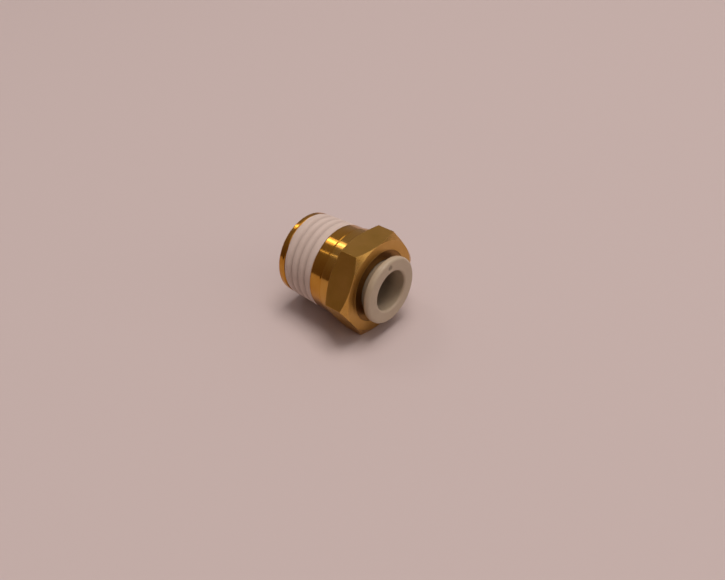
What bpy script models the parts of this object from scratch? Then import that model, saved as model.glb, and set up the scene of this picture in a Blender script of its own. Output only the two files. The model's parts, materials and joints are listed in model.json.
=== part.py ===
"""Push to connect fitting, with a male taper thread and a hexagon.

The fitting lies on one flat of its hexagon. X runs along its axis, from the
threaded end to the tube end, and Z points up. The origin is under the middle
of the fitting, on the plane it lies on. Units are metres.

Inside, a lip seal sits in a pocket, and a backing ring holds it there. The
chuck, which is a rim with claws, turns freely with its collet inside a guide
sleeve. The claws lean inwards and bite a tube that is pulled. The button
slides in the collet, and its nose opens the claws.
"""

import math

import bmesh
import bpy

MM = 0.001

# Hexagon, 14 mm across the flats, which stand a little out of the shoulder
HEX_SIDES = 6
HEX_RISE = 0.134 * MM
HEX_LENGTH = 4.0 * MM
HEX_CHAMFER_ANGLE = math.radians(30.0)
FRONT_FACE_INSET = 0.07 * MM
REAR_FACE_INSET = 0.07 * MM

# Collar and shoulder between the thread and the hexagon
COLLAR_LENGTH = 3.65 * MM
COLLAR_RISE = 0.05 * MM
SHOULDER_LENGTH = 1.5 * MM
SHOULDER_RISE = 0.2 * MM
SHOULDER_CHAMFER = 0.1 * MM

# Male taper thread, R 1/4
THREAD_LENGTH = 7.2 * MM
THREAD_GAUGE_DIAMETER = 13.157 * MM
THREAD_GAUGE_LENGTH = 6.0 * MM
THREAD_PITCH = 25.4 / 19.0 * MM
THREAD_TAPER = 1.0 / 16.0
THREAD_DEPTH_PER_PITCH = 0.640327
THREAD_FADE = 0.9 * MM
THREAD_CLOCKING = 1.0 / 3.0
LEAD_CHAMFER = 0.6 * MM

# Sealant film on the thread
SEALANT_START = 1.15 * MM
SEALANT_END_GAP = 0.05 * MM
SEALANT_OVER_CREST = 0.05 * MM
SEALANT_RIPPLE = 0.3 * MM
SEALANT_UNDER_GAP = 0.025 * MM
SEALANT_EDGE = 0.035 * MM

# Tube and the passages for it
TUBE_DIAMETER = 6.0 * MM
TUBE_CLEARANCE = 0.08 * MM
TUBE_STOP_STEP = 0.7 * MM
TUBE_STOP_DEPTH = 3.6 * MM
TAIL_BORE_CHAMFER = 0.3 * MM

# Seal and its pocket
SEAL_START = 5.65 * MM
SEAL_LENGTH = 2.0 * MM
SEAL_WALL = 1.7 * MM
SEAL_SQUEEZE = 0.08 * MM
SEAL_LIP_DEPTH = 1.1 * MM
SEAL_LIP_EDGE = 0.3 * MM

# Backing ring
BACKING_SPIGOT = 0.4 * MM
BACKING_FLANGE = 2.0 * MM
BACKING_LAND = 0.7 * MM
BACKING_RIM = 0.25 * MM
BACKING_THROAT_RISE = 0.35 * MM

# Chuck
CLAW_COUNT = 12
CLAW_LEAN = math.radians(37.0)
CLAW_BITE = 0.12 * MM
CLAW_SLOT = 0.32 * MM
CLAW_THICKNESS = 0.25 * MM
CLAW_ROOT_GAP = 0.12 * MM
CLAW_EDGE = 0.1 * MM
CHUCK_RIM_THICKNESS = 0.3 * MM

# Release button
BUTTON_PROJECTION = 2.1 * MM
BUTTON_FLANGE = 1.1 * MM
BUTTON_FLANGE_RISE = 1.18 * MM
BUTTON_FRONT_ROUND = 0.4 * MM
BUTTON_BACK_ROUND = 0.4 * MM
BUTTON_BORE_ROUND = 0.35 * MM
BUTTON_TRAVEL = 0.9 * MM
BUTTON_STEM_WALL = 0.87 * MM
BUTTON_NOSE_WALL = 0.22 * MM
BUTTON_NOSE_GAP = 0.2 * MM
BUTTON_BARB_HEIGHT = 0.2 * MM
BUTTON_BARB_LENGTH = 0.6 * MM
BUTTON_BARB_RAMP = 0.25 * MM

# Collet and guide sleeve
COLLET_WALL = 0.7 * MM
BARB_ROOM = 0.1 * MM
GUIDE_WALL = 0.47 * MM
GUIDE_LIP = 0.5 * MM
GUIDE_LIP_GAP = 0.15 * MM

# Fits
RUNNING_GAP = 0.05 * MM
PRESS_GAP = 0.03 * MM

# Faceting
TURN_STEPS = 36
ARC_STEPS = 4
THREAD_STEPS_PER_PITCH = 6
THREAD_ROW_SNAP = 0.25
CLAW_STEPS = 4
SMOOTH_ANGLE = math.radians(35.0)

# Stations along the axis, measured from the threaded end
COLLAR_START = THREAD_LENGTH
HEX_REAR = COLLAR_START + COLLAR_LENGTH
BODY_FRONT = HEX_REAR + HEX_LENGTH
OVERALL_LENGTH = BODY_FRONT + BUTTON_PROJECTION
SEAL_POCKET_END = SEAL_START + SEAL_LENGTH + RUNNING_GAP + BACKING_SPIGOT
BACKING_REAR = SEAL_POCKET_END - BACKING_SPIGOT
BACKING_SEAT = SEAL_POCKET_END + RUNNING_GAP
BACKING_FRONT = BACKING_SEAT + BACKING_FLANGE
CHUCK_REAR = BACKING_FRONT + RUNNING_GAP
CHUCK_FRONT = CHUCK_REAR + CHUCK_RIM_THICKNESS
CLAW_HINGE = (CHUCK_REAR + CHUCK_FRONT) / 2.0
COLLET_REAR = CHUCK_FRONT + RUNNING_GAP
FLANGE_BACK = OVERALL_LENGTH - BUTTON_FLANGE
GUIDE_REAR = BACKING_FRONT + RUNNING_GAP
GUIDE_FRONT = FLANGE_BACK - BUTTON_TRAVEL - RUNNING_GAP - BARB_ROOM
GUIDE_LIP_REAR = GUIDE_FRONT - GUIDE_LIP
COLLET_FRONT = GUIDE_LIP_REAR - RUNNING_GAP

# Radii, from the tube outwards
TUBE_RADIUS = TUBE_DIAMETER / 2.0
TUBE_BORE = TUBE_RADIUS + TUBE_CLEARANCE
TAIL_BORE = TUBE_RADIUS - TUBE_STOP_STEP
SEAL_INNER = TUBE_RADIUS - SEAL_SQUEEZE
SEAL_OUTER = TUBE_RADIUS + SEAL_WALL
SEAL_POCKET = SEAL_OUTER + RUNNING_GAP
STEM_RADIUS = TUBE_BORE + BUTTON_STEM_WALL
NOSE_RADIUS = TUBE_BORE + BUTTON_NOSE_WALL
BARB_RADIUS = STEM_RADIUS + BUTTON_BARB_HEIGHT
COLLET_BORE = STEM_RADIUS + RUNNING_GAP
COLLET_RELIEF = BARB_RADIUS + BARB_ROOM
COLLET_OUTER = COLLET_RELIEF + COLLET_WALL
GUIDE_BORE = COLLET_OUTER + RUNNING_GAP
GUIDE_OUTER = GUIDE_BORE + GUIDE_WALL
MOUTH_RADIUS = GUIDE_OUTER + PRESS_GAP
FLANGE_RADIUS = STEM_RADIUS + BUTTON_FLANGE_RISE
CLAW_TIP = TUBE_RADIUS - CLAW_BITE
CLAW_ROOT = BARB_RADIUS + BARB_ROOM + RUNNING_GAP
CHUCK_RIM_INNER = CLAW_ROOT + BARB_ROOM + RUNNING_GAP

# Nose of the button, held off the front of the leaning claws
NOSE_CLAW_STATION = CLAW_HINGE - (CLAW_ROOT - NOSE_RADIUS) * math.tan(CLAW_LEAN)
NOSE_FRONT_OF_CLAW = NOSE_CLAW_STATION + CLAW_THICKNESS / 2.0 / math.cos(CLAW_LEAN)
NOSE_END = NOSE_FRONT_OF_CLAW + BUTTON_NOSE_GAP
BARB_FRONT = COLLET_REAR + BUTTON_TRAVEL + BUTTON_BARB_LENGTH / 2.0
BARB_REAR = BARB_FRONT - BUTTON_BARB_LENGTH
COLLET_STEP = BARB_FRONT + RUNNING_GAP

# Outside of the body, from the thread outwards
THREAD_DEPTH = THREAD_DEPTH_PER_PITCH * THREAD_PITCH
THREAD_START = LEAD_CHAMFER
THREAD_END = THREAD_LENGTH
SEALANT_END = THREAD_END - SEALANT_END_GAP
THREAD_END_RADIUS = (
    THREAD_GAUGE_DIAMETER / 2.0
    + (THREAD_END - THREAD_GAUGE_LENGTH) * THREAD_TAPER / 2.0
)
COLLAR_RADIUS = THREAD_END_RADIUS + COLLAR_RISE
SHOULDER_RADIUS = COLLAR_RADIUS + SHOULDER_RISE
SHOULDER_START = HEX_REAR - SHOULDER_LENGTH
HEX_APOTHEM = SHOULDER_RADIUS + HEX_RISE
HEX_CORNER = HEX_APOTHEM / math.cos(math.pi / HEX_SIDES)
FRONT_FACE_RADIUS = HEX_APOTHEM - FRONT_FACE_INSET
REAR_FACE_RADIUS = HEX_APOTHEM - REAR_FACE_INSET

# Place of the axis in the world
AXIS_HEIGHT = HEX_APOTHEM
TAIL_X = -OVERALL_LENGTH / 2.0

# Finishes: colour, roughness, metallic
BRASS = ((0.56, 0.31, 0.07), 0.24, 1.0)
SEALANT_WHITE = ((0.66, 0.54, 0.48), 0.65, 0.0)
BUTTON_GREY = ((0.45, 0.36, 0.27), 0.20, 0.0)
STAINLESS = ((0.55, 0.54, 0.52), 0.30, 1.0)
RUBBER = ((0.02, 0.02, 0.02), 0.70, 0.0)
RING_PLASTIC = ((0.55, 0.53, 0.50), 0.50, 0.0)


def clear_scene():
    """Empty the scene."""
    for obj in list(bpy.data.objects):
        bpy.data.objects.remove(obj, do_unlink=True)


def add_object(name, mesh, location):
    """Put a mesh in the scene under a name."""
    obj = bpy.data.objects.new(name, mesh)
    obj.location = location
    bpy.context.scene.collection.objects.link(obj)
    return obj


def on_axis():
    """World place of the point where the axis leaves the threaded end."""
    return (TAIL_X, 0.0, AXIS_HEIGHT)


def finish(obj, look):
    """Give an object its own material and smooth shading on round faces."""
    colour, roughness, metallic = look
    material = bpy.data.materials.new(obj.name + "_finish")
    material.use_nodes = True
    shader = material.node_tree.nodes["Principled BSDF"]
    shader.inputs["Base Color"].default_value = (*colour, 1.0)
    shader.inputs["Roughness"].default_value = roughness
    shader.inputs["Metallic"].default_value = metallic
    obj.data.materials.clear()
    obj.data.materials.append(material)
    obj.data.shade_smooth()
    obj.data.set_sharp_from_angle(angle=SMOOTH_ANGLE)


def mesh_from(name, points, faces):
    """Make a closed mesh from points and faces, with its faces turned outwards."""
    build = bmesh.new()
    corners = [build.verts.new(point) for point in points]
    for face in faces:
        build.faces.new([corners[index] for index in face])
    bmesh.ops.recalc_face_normals(build, faces=build.faces[:])
    mesh = bpy.data.meshes.new(name)
    build.to_mesh(mesh)
    build.free()
    return mesh


def turned(name, profile):
    """Turn a closed profile of (station, radius) points round the axis."""
    count = len(profile)
    points = []
    faces = []
    for step in range(TURN_STEPS):
        angle = 2.0 * math.pi * step / TURN_STEPS
        for station, radius in profile:
            points.append((station, radius * math.cos(angle), radius * math.sin(angle)))
    for step in range(TURN_STEPS):
        here = step * count
        there = (step + 1) % TURN_STEPS * count
        for index in range(count):
            after = (index + 1) % count
            faces.append((here + index, there + index, there + after, here + after))
    return mesh_from(name, points, faces)


def turned_solid(name, profile):
    """Turn an open outline, from one end face to the other, into a bar with no bore."""
    count = len(profile)
    points = []
    faces = []
    for step in range(TURN_STEPS):
        angle = 2.0 * math.pi * step / TURN_STEPS
        for station, radius in profile:
            points.append((station, radius * math.cos(angle), radius * math.sin(angle)))
    for step in range(TURN_STEPS):
        here = step * count
        there = (step + 1) % TURN_STEPS * count
        for index in range(count - 1):
            faces.append((here + index, there + index, there + index + 1, here + index + 1))
    faces.append([step * count for step in range(TURN_STEPS)])
    faces.append([step * count + count - 1 for step in range(TURN_STEPS)])
    return mesh_from(name, points, faces)


def arc(station, radius, size, start, end):
    """Points of a round corner, from one angle to another, about its centre."""
    points = []
    for step in range(ARC_STEPS + 1):
        angle = math.radians(start + (end - start) * step / ARC_STEPS)
        points.append((station + size * math.cos(angle), radius + size * math.sin(angle)))
    return points


def combine(obj, tool, operation):
    """Join, cut or intersect an object with a tool, and remove the tool."""
    modifier = obj.modifiers.new(operation.lower(), "BOOLEAN")
    modifier.operation = operation
    modifier.solver = "EXACT"
    modifier.object = tool
    bpy.context.view_layer.update()
    graph = bpy.context.evaluated_depsgraph_get()
    mesh = bpy.data.meshes.new_from_object(obj.evaluated_get(graph))
    obj.modifiers.remove(modifier)
    obj.data = mesh
    bpy.data.objects.remove(tool, do_unlink=True)


def fade(value, start, length):
    """Smooth rise from 0 at the start to 1 after a length."""
    part = min(max((value - start) / length, 0.0), 1.0)
    return part * part * (3.0 - 2.0 * part)


def crest_radius(station):
    """Radius of the taper over the thread's crests."""
    return THREAD_GAUGE_DIAMETER / 2.0 + (station - THREAD_GAUGE_LENGTH) * THREAD_TAPER / 2.0


def thread_phase(station, turn):
    """Place within a pitch, from 0 on one crest to 1 on the next."""
    return (station / THREAD_PITCH - turn - THREAD_CLOCKING) % 1.0


def groove(station, turn):
    """Depth of the thread below its crest, as a part of the full depth."""
    return 1.0 - abs(2.0 * thread_phase(station, turn) - 1.0)


def thread_envelope(station):
    """Part of the full thread depth, which runs out at both ends."""
    return fade(station, THREAD_START, THREAD_FADE) * fade(-station, -THREAD_END, THREAD_FADE)


def thread_radius(station, turn):
    """Radius of the threaded brass at a station and a part of a turn."""
    depth = THREAD_DEPTH * groove(station, turn) * thread_envelope(station)
    return crest_radius(station) - depth


def sealant_inner_radius(station, turn):
    """Radius of the sealant's inner side, just clear of the brass."""
    return thread_radius(station, turn) + SEALANT_UNDER_GAP


def sealant_outer_radius(station, turn):
    """Radius of the sealant's outer side, which follows the thread softly."""
    wave = 0.5 - 0.5 * math.cos(2.0 * math.pi * thread_phase(station, turn))
    ends = fade(station, SEALANT_START, THREAD_FADE) * fade(-station, -SEALANT_END, THREAD_FADE)
    crest = crest_radius(station) + SEALANT_EDGE + (SEALANT_OVER_CREST - SEALANT_EDGE) * ends
    return crest - SEALANT_RIPPLE * wave * ends


def helical_sheet(start, end, radius_at):
    """Points and faces of a threaded sheet whose rows follow the helix.

    Rows that reach an end, or come close to it, are held on the end circle,
    where their points become one. The two lists returned last are the end circles.
    """
    row_pitch = THREAD_PITCH / THREAD_STEPS_PER_PITCH
    lowest = math.floor((start - THREAD_PITCH) / row_pitch)
    highest = math.ceil(end / row_pitch)
    points = []
    faces = []
    index_of = {}

    def corner(row, step):
        turns = step // TURN_STEPS
        row = row + turns * THREAD_STEPS_PER_PITCH
        step = step % TURN_STEPS
        turn = step / TURN_STEPS
        station = row * row_pitch + turn * THREAD_PITCH
        if station <= start + row_pitch * THREAD_ROW_SNAP:
            key = ("start", step)
            station = start
        elif station >= end - row_pitch * THREAD_ROW_SNAP:
            key = ("end", step)
            station = end
        else:
            key = (row, step)
        if key not in index_of:
            angle = 2.0 * math.pi * turn
            radius = radius_at(station, turn)
            index_of[key] = len(points)
            points.append((station, radius * math.cos(angle), radius * math.sin(angle)))
        return index_of[key]

    def add_triangle(first, second, third):
        if len({first, second, third}) == 3:
            faces.append((first, second, third))

    for step in range(TURN_STEPS):
        for row in range(lowest, highest + 1):
            a = corner(row, step)
            b = corner(row, step + 1)
            c = corner(row + 1, step + 1)
            d = corner(row + 1, step)
            add_triangle(a, b, c)
            add_triangle(a, c, d)
    first_ring = [index_of["start", step] for step in range(TURN_STEPS)]
    last_ring = [index_of["end", step] for step in range(TURN_STEPS)]
    return points, faces, first_ring, last_ring


def add_ring(points, station, radius):
    """Add a circle of points, and return their places in the list."""
    ring = []
    for step in range(TURN_STEPS):
        angle = 2.0 * math.pi * step / TURN_STEPS
        ring.append(len(points))
        points.append((station, radius * math.cos(angle), radius * math.sin(angle)))
    return ring


def bridge(faces, first, second):
    """Join two circles of points with faces."""
    for step in range(TURN_STEPS):
        after = (step + 1) % TURN_STEPS
        faces.append((first[step], first[after], second[after], second[step]))


def body_core():
    """Threaded and turned bar, from the threaded end to inside the hexagon."""
    points, faces, tail_ring, collar_ring = helical_sheet(
        THREAD_START, THREAD_END, thread_radius
    )
    end_face = add_ring(points, 0.0, crest_radius(THREAD_START) - LEAD_CHAMFER)
    bridge(faces, end_face, tail_ring)
    faces.append(end_face)
    last = collar_ring
    for station, radius in (
        (COLLAR_START, COLLAR_RADIUS),
        (SHOULDER_START, COLLAR_RADIUS),
        (SHOULDER_START + SHOULDER_CHAMFER, SHOULDER_RADIUS),
        (HEX_REAR + HEX_LENGTH / 2.0, SHOULDER_RADIUS),
    ):
        ring = add_ring(points, station, radius)
        bridge(faces, last, ring)
        last = ring
    faces.append(last)
    return mesh_from("core", points, faces)


def hexagon_bar():
    """Plain hexagonal bar, with a flat on top and one below."""
    points = []
    faces = []
    for station in (HEX_REAR, BODY_FRONT):
        for side in range(HEX_SIDES):
            angle = 2.0 * math.pi * side / HEX_SIDES
            points.append(
                (station, HEX_CORNER * math.cos(angle), HEX_CORNER * math.sin(angle))
            )
    for side in range(HEX_SIDES):
        after = (side + 1) % HEX_SIDES
        faces.append((side, after, HEX_SIDES + after, HEX_SIDES + side))
    faces.append(tuple(range(HEX_SIDES)))
    faces.append(tuple(range(HEX_SIDES, 2 * HEX_SIDES)))
    return mesh_from("hexagon", points, faces)


def chamfer_form():
    """Double cone that leaves the chamfers on the corners of the hexagon."""
    widest = HEX_CORNER + MM
    slope = math.tan(HEX_CHAMFER_ANGLE)
    outline = (
        (HEX_REAR - MM, REAR_FACE_RADIUS - MM / slope),
        (HEX_REAR + (widest - REAR_FACE_RADIUS) * slope, widest),
        (BODY_FRONT - (widest - FRONT_FACE_RADIUS) * slope, widest),
        (BODY_FRONT + MM, FRONT_FACE_RADIUS - MM / slope),
    )
    return turned_solid("chamfer_form", outline)


def bore_form():
    """Form of the stepped bore, from past one end to past the other."""
    outline = (
        (-MM, TAIL_BORE + TAIL_BORE_CHAMFER + MM),
        (TAIL_BORE_CHAMFER, TAIL_BORE),
        (TUBE_STOP_DEPTH, TAIL_BORE),
        (TUBE_STOP_DEPTH, TUBE_BORE),
        (SEAL_START, TUBE_BORE),
        (SEAL_START, SEAL_POCKET),
        (SEAL_POCKET_END, SEAL_POCKET),
        (SEAL_POCKET_END, MOUTH_RADIUS),
        (BODY_FRONT + MM, MOUTH_RADIUS),
    )
    return turned_solid("bore_form", outline)


def make_body():
    """Brass body: core and hexagon joined, with the bore cut out."""
    body = add_object("body", body_core(), on_axis())
    hexagon = add_object("hexagon", hexagon_bar(), on_axis())
    combine(hexagon, add_object("chamfer_form", chamfer_form(), on_axis()), "INTERSECT")
    combine(body, hexagon, "UNION")
    combine(body, add_object("bore_form", bore_form(), on_axis()), "DIFFERENCE")
    finish(body, BRASS)


def make_sealant():
    """White film that fills the thread and follows it softly outside."""
    points, faces, inner_first, inner_last = helical_sheet(
        SEALANT_START, SEALANT_END, sealant_inner_radius
    )
    outer_points, outer_faces, outer_first, outer_last = helical_sheet(
        SEALANT_START, SEALANT_END, sealant_outer_radius
    )
    offset = len(points)
    points += outer_points
    for face in outer_faces:
        faces.append(tuple(offset + index for index in face))
    bridge(faces, inner_first, [offset + index for index in outer_first])
    bridge(faces, inner_last, [offset + index for index in outer_last])
    sealant = add_object("thread_sealant", mesh_from("thread_sealant", points, faces), on_axis())
    finish(sealant, SEALANT_WHITE)


def make_seal():
    """Rubber ring with two lips that open towards the threaded end."""
    start = SEAL_START + RUNNING_GAP
    end = SEAL_START + SEAL_LENGTH
    heel = start + SEAL_LIP_DEPTH
    middle = (SEAL_INNER + SEAL_OUTER) / 2.0
    wall = (SEAL_OUTER - SEAL_INNER) / 4.0
    profile = (
        (start, SEAL_INNER),
        (start, SEAL_INNER + SEAL_LIP_EDGE),
        (heel - SEAL_LIP_EDGE, middle - wall / 2.0),
        (heel, middle),
        (heel - SEAL_LIP_EDGE, middle + wall / 2.0),
        (start, SEAL_OUTER - SEAL_LIP_EDGE),
        (start, SEAL_OUTER),
        (end, SEAL_OUTER),
        (end, TUBE_BORE),
        (heel, TUBE_BORE),
    )
    seal = add_object("seal", turned("seal", profile), on_axis())
    finish(seal, RUBBER)


def make_backing_ring():
    """Ring behind the seal, dished at the front so that the claws can open."""
    land_end = BACKING_REAR + BACKING_LAND
    profile = (
        (BACKING_REAR, TUBE_BORE),
        (BACKING_REAR, SEAL_OUTER),
        (BACKING_SEAT, SEAL_OUTER),
        (BACKING_SEAT, GUIDE_OUTER),
        (BACKING_FRONT, GUIDE_OUTER),
        (BACKING_FRONT, CHUCK_RIM_INNER),
        (BACKING_FRONT - BACKING_RIM, CHUCK_RIM_INNER),
        (land_end, TUBE_BORE + BACKING_THROAT_RISE),
        (land_end, TUBE_BORE),
    )
    ring = add_object("backing_ring", turned("backing_ring", profile), on_axis())
    finish(ring, RING_PLASTIC)


def make_chuck_ring():
    """Flat rim of the chuck, between the backing ring and the collet."""
    profile = (
        (CHUCK_REAR, CHUCK_RIM_INNER),
        (CHUCK_REAR, COLLET_OUTER),
        (CHUCK_FRONT, COLLET_OUTER),
        (CHUCK_FRONT, CHUCK_RIM_INNER),
    )
    ring = add_object("chuck_ring", turned("chuck_ring", profile), on_axis())
    finish(ring, STAINLESS)


def claw_mesh(name):
    """Claw as a piece of a leaning cone, about its own hinge point."""
    half = CLAW_THICKNESS / 2.0
    lean_sine = math.sin(CLAW_LEAN)
    lean_cosine = math.cos(CLAW_LEAN)

    def reach_at(radius, offset):
        return (CLAW_ROOT - radius - lean_sine * offset) / lean_cosine

    outline = (
        (CLAW_ROOT_GAP, -half),
        (reach_at(CLAW_TIP + CLAW_EDGE, -half), -half),
        (reach_at(CLAW_TIP, half), half),
        (CLAW_ROOT_GAP, half),
    )
    span = 2.0 * math.pi / CLAW_COUNT - CLAW_SLOT / CLAW_TIP
    count = len(outline)
    points = []
    faces = []
    for step in range(CLAW_STEPS + 1):
        angle = span * (step / CLAW_STEPS - 0.5)
        for reach, offset in outline:
            station = lean_cosine * offset - lean_sine * reach
            radius = CLAW_ROOT - lean_cosine * reach - lean_sine * offset
            points.append(
                (station, radius * math.cos(angle) - CLAW_ROOT, radius * math.sin(angle))
            )
    for step in range(CLAW_STEPS):
        here = step * count
        there = here + count
        for index in range(count):
            after = (index + 1) % count
            faces.append((here + index, there + index, there + after, here + after))
    faces.append(tuple(range(count)))
    faces.append(tuple(CLAW_STEPS * count + index for index in range(count)))
    return mesh_from(name, points, faces)


def make_claws():
    """Claws round the axis, each with its origin on its own hinge line."""
    for number in range(CLAW_COUNT):
        angle = 2.0 * math.pi * number / CLAW_COUNT
        name = f"chuck_claw_{number + 1:02d}"
        place = (
            TAIL_X + CLAW_HINGE,
            CLAW_ROOT * math.cos(angle),
            AXIS_HEIGHT + CLAW_ROOT * math.sin(angle),
        )
        claw = add_object(name, claw_mesh(name), place)
        claw.rotation_euler = (angle, 0.0, 0.0)
        finish(claw, STAINLESS)


def make_collet():
    """Carrier behind the chuck, with a bore for the stem and room for its barb."""
    profile = (
        (COLLET_REAR, COLLET_RELIEF),
        (COLLET_REAR, COLLET_OUTER),
        (COLLET_FRONT, COLLET_OUTER),
        (COLLET_FRONT, COLLET_BORE),
        (COLLET_STEP, COLLET_BORE),
        (COLLET_STEP, COLLET_RELIEF),
    )
    collet = add_object("collet", turned("collet", profile), on_axis())
    finish(collet, RING_PLASTIC)


def make_guide_sleeve():
    """Brass sleeve pressed in the mouth, with a lip that keeps the collet in."""
    profile = (
        (GUIDE_REAR, GUIDE_BORE),
        (GUIDE_REAR, GUIDE_OUTER),
        (GUIDE_FRONT, GUIDE_OUTER),
        (GUIDE_FRONT, STEM_RADIUS + GUIDE_LIP_GAP),
        (GUIDE_LIP_REAR, STEM_RADIUS + GUIDE_LIP_GAP),
        (GUIDE_LIP_REAR, GUIDE_BORE),
    )
    sleeve = add_object("guide_sleeve", turned("guide_sleeve", profile), on_axis())
    finish(sleeve, BRASS)


def make_button():
    """Button with a round-edged flange, a stem, a barb and a thin nose."""
    front = OVERALL_LENGTH
    profile = [
        (NOSE_END, TUBE_BORE),
        (NOSE_END, NOSE_RADIUS),
        (BARB_REAR, STEM_RADIUS),
        (BARB_REAR + BUTTON_BARB_RAMP, BARB_RADIUS),
        (BARB_FRONT, BARB_RADIUS),
        (BARB_FRONT, STEM_RADIUS),
        (FLANGE_BACK, STEM_RADIUS),
    ]
    profile += arc(
        FLANGE_BACK + BUTTON_BACK_ROUND,
        FLANGE_RADIUS - BUTTON_BACK_ROUND,
        BUTTON_BACK_ROUND,
        180.0,
        90.0,
    )
    profile += arc(
        front - BUTTON_FRONT_ROUND,
        FLANGE_RADIUS - BUTTON_FRONT_ROUND,
        BUTTON_FRONT_ROUND,
        90.0,
        0.0,
    )
    profile += arc(
        front - BUTTON_BORE_ROUND,
        TUBE_BORE + BUTTON_BORE_ROUND,
        BUTTON_BORE_ROUND,
        0.0,
        -90.0,
    )
    button = add_object("release_button", turned("release_button", profile), on_axis())
    finish(button, BUTTON_GREY)


def main():
    clear_scene()
    make_body()
    make_sealant()
    make_seal()
    make_backing_ring()
    make_chuck_ring()
    make_claws()
    make_collet()
    make_guide_sleeve()
    make_button()


main()
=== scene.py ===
"""Looks of a push to connect fitting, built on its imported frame.

Every piece is a fine mesh about the fitting's axis, and it stands for a
faceted solid of the frame. A station is a distance along the axis from the
threaded end, and a radius is a distance from the axis. Units are metres.
"""

import json
import math

import bpy
import numpy as np
from mathutils import Matrix, Vector, noise


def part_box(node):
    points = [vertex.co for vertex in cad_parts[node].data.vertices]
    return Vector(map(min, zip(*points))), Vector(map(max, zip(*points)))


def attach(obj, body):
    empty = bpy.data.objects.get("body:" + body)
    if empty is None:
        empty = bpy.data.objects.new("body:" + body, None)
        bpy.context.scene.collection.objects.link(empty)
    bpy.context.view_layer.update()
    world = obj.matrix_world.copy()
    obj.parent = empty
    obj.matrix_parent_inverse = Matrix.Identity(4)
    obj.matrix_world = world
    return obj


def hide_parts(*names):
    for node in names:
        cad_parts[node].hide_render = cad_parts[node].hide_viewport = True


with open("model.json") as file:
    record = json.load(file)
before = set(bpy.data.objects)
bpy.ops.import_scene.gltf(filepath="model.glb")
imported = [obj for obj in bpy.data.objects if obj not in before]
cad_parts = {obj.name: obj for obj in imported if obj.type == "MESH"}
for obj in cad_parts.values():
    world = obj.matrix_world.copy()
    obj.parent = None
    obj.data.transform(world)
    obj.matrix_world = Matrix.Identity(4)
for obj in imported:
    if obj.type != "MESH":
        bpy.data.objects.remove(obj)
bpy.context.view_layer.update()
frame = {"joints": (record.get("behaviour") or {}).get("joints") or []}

MM = 0.001
MICRON = 1.0e-6
INCH = 25.4 * MM
FULL_TURN = 2.0 * math.pi

# Axis and main sizes, read from the frame
BODY_LOW, BODY_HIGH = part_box("body")
TAIL_X = BODY_LOW.x
AXIS_Z = (BODY_LOW.z + BODY_HIGH.z) / 2.0
HEX_APOTHEM = (BODY_HIGH.z - BODY_LOW.z) / 2.0
BODY_FRONT = BODY_HIGH.x - TAIL_X


def span(node):
    """First station, last station and outer radius of a round node."""
    low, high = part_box(node)
    return low.x - TAIL_X, high.x - TAIL_X, (high.z - low.z) / 2.0


SEALANT_START, SEALANT_END, _ = span("thread_sealant")
SEAL_START, SEAL_END, SEAL_OUTER = span("seal")
BACKING_REAR, BACKING_FRONT, BACKING_OUTER = span("backing_ring")
CHUCK_REAR, CHUCK_FRONT, CHUCK_OUTER = span("chuck_ring")
COLLET_REAR, COLLET_FRONT, COLLET_OUTER = span("collet")
GUIDE_REAR, GUIDE_FRONT, GUIDE_OUTER = span("guide_sleeve")
NOSE_END, BUTTON_FACE, FLANGE_RADIUS = span("release_button")

# Hexagon, shoulder and collar
HEX_SIDES = 6
HEX_SIDE_ANGLE = FULL_TURN / HEX_SIDES
HEX_HALF_ANGLE = HEX_SIDE_ANGLE / 2.0
HEX_LENGTH = 4.0 * MM
HEX_REAR = BODY_FRONT - HEX_LENGTH
HEX_CHAMFER_SLOPE = math.tan(math.radians(30.0))
HEX_CORNER_ROUND = 0.08 * MM
HEX_EDGE_ROUND = 0.04 * MM
FACE_EDGE_ROUND = 0.06 * MM
FRONT_FACE_RADIUS = HEX_APOTHEM - 0.04 * MM
REAR_FACE_RADIUS = HEX_APOTHEM - 0.07 * MM
SHOULDER_RADIUS = HEX_APOTHEM - 0.134 * MM
SHOULDER_START = HEX_REAR - 1.5 * MM
SHOULDER_CHAMFER = 0.1 * MM
COLLAR_RADIUS = SHOULDER_RADIUS - 0.2 * MM
COLLAR_START = HEX_REAR - 3.65 * MM
RELIEF_WIDTH = 0.4 * MM
RELIEF_DEPTH = 0.05 * MM
MOUTH_CHAMFER = 0.05 * MM
MOUTH_ROUND = 0.03 * MM
TURNED_EDGE = 0.05 * MM

# Taper thread
THREADS_PER_INCH = 19.0
THREAD_PITCH = INCH / THREADS_PER_INCH
THREAD_DEPTH_RATIO = 0.640327
THREAD_DEPTH = THREAD_DEPTH_RATIO * THREAD_PITCH
THREAD_TAPER = 1.0 / 32.0
THREAD_GAUGE_DIAMETER = 13.157 * MM
THREAD_GAUGE_LENGTH = 6.0 * MM
THREAD_FADE = 0.9 * MM
THREAD_CLOCKING = 1.0 / 3.0
LEAD_CHAMFER = 0.6 * MM
THREAD_ROWS = 121

# Sealant film
FILM_OVER_CREST = 0.05 * MM
FILM_RIPPLE = 0.32 * MM
FILM_VALLEY_SHARPNESS = 2.2
# Painted shade in the film's valleys
FILM_VALLEY_SHADE = 0.55
FILM_SKIN = 0.02 * MM
FILM_FEATHER = 0.25 * MM
FILM_EDGE_WANDER = 0.06 * MM
FILM_WANDER_SCALE = 2.2
FILM_START_SEED = 0.0
FILM_END_SEED = 5.0
FILM_BARE_STRIP = 0.15 * MM
FILM_START_SLANT = 0.55 * MM
FILM_EARLIEST_ANGLE = math.radians(70.0)
FILM_LUMP = 0.012 * MM
FILM_LUMP_SCALE = 900.0
FILM_ROWS = 140

# Layered noise of the film's edges and lumps
LAYER_FALLOFF = 1.0
LAYER_SPREAD = 2.0
LAYER_COUNT = 3

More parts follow.
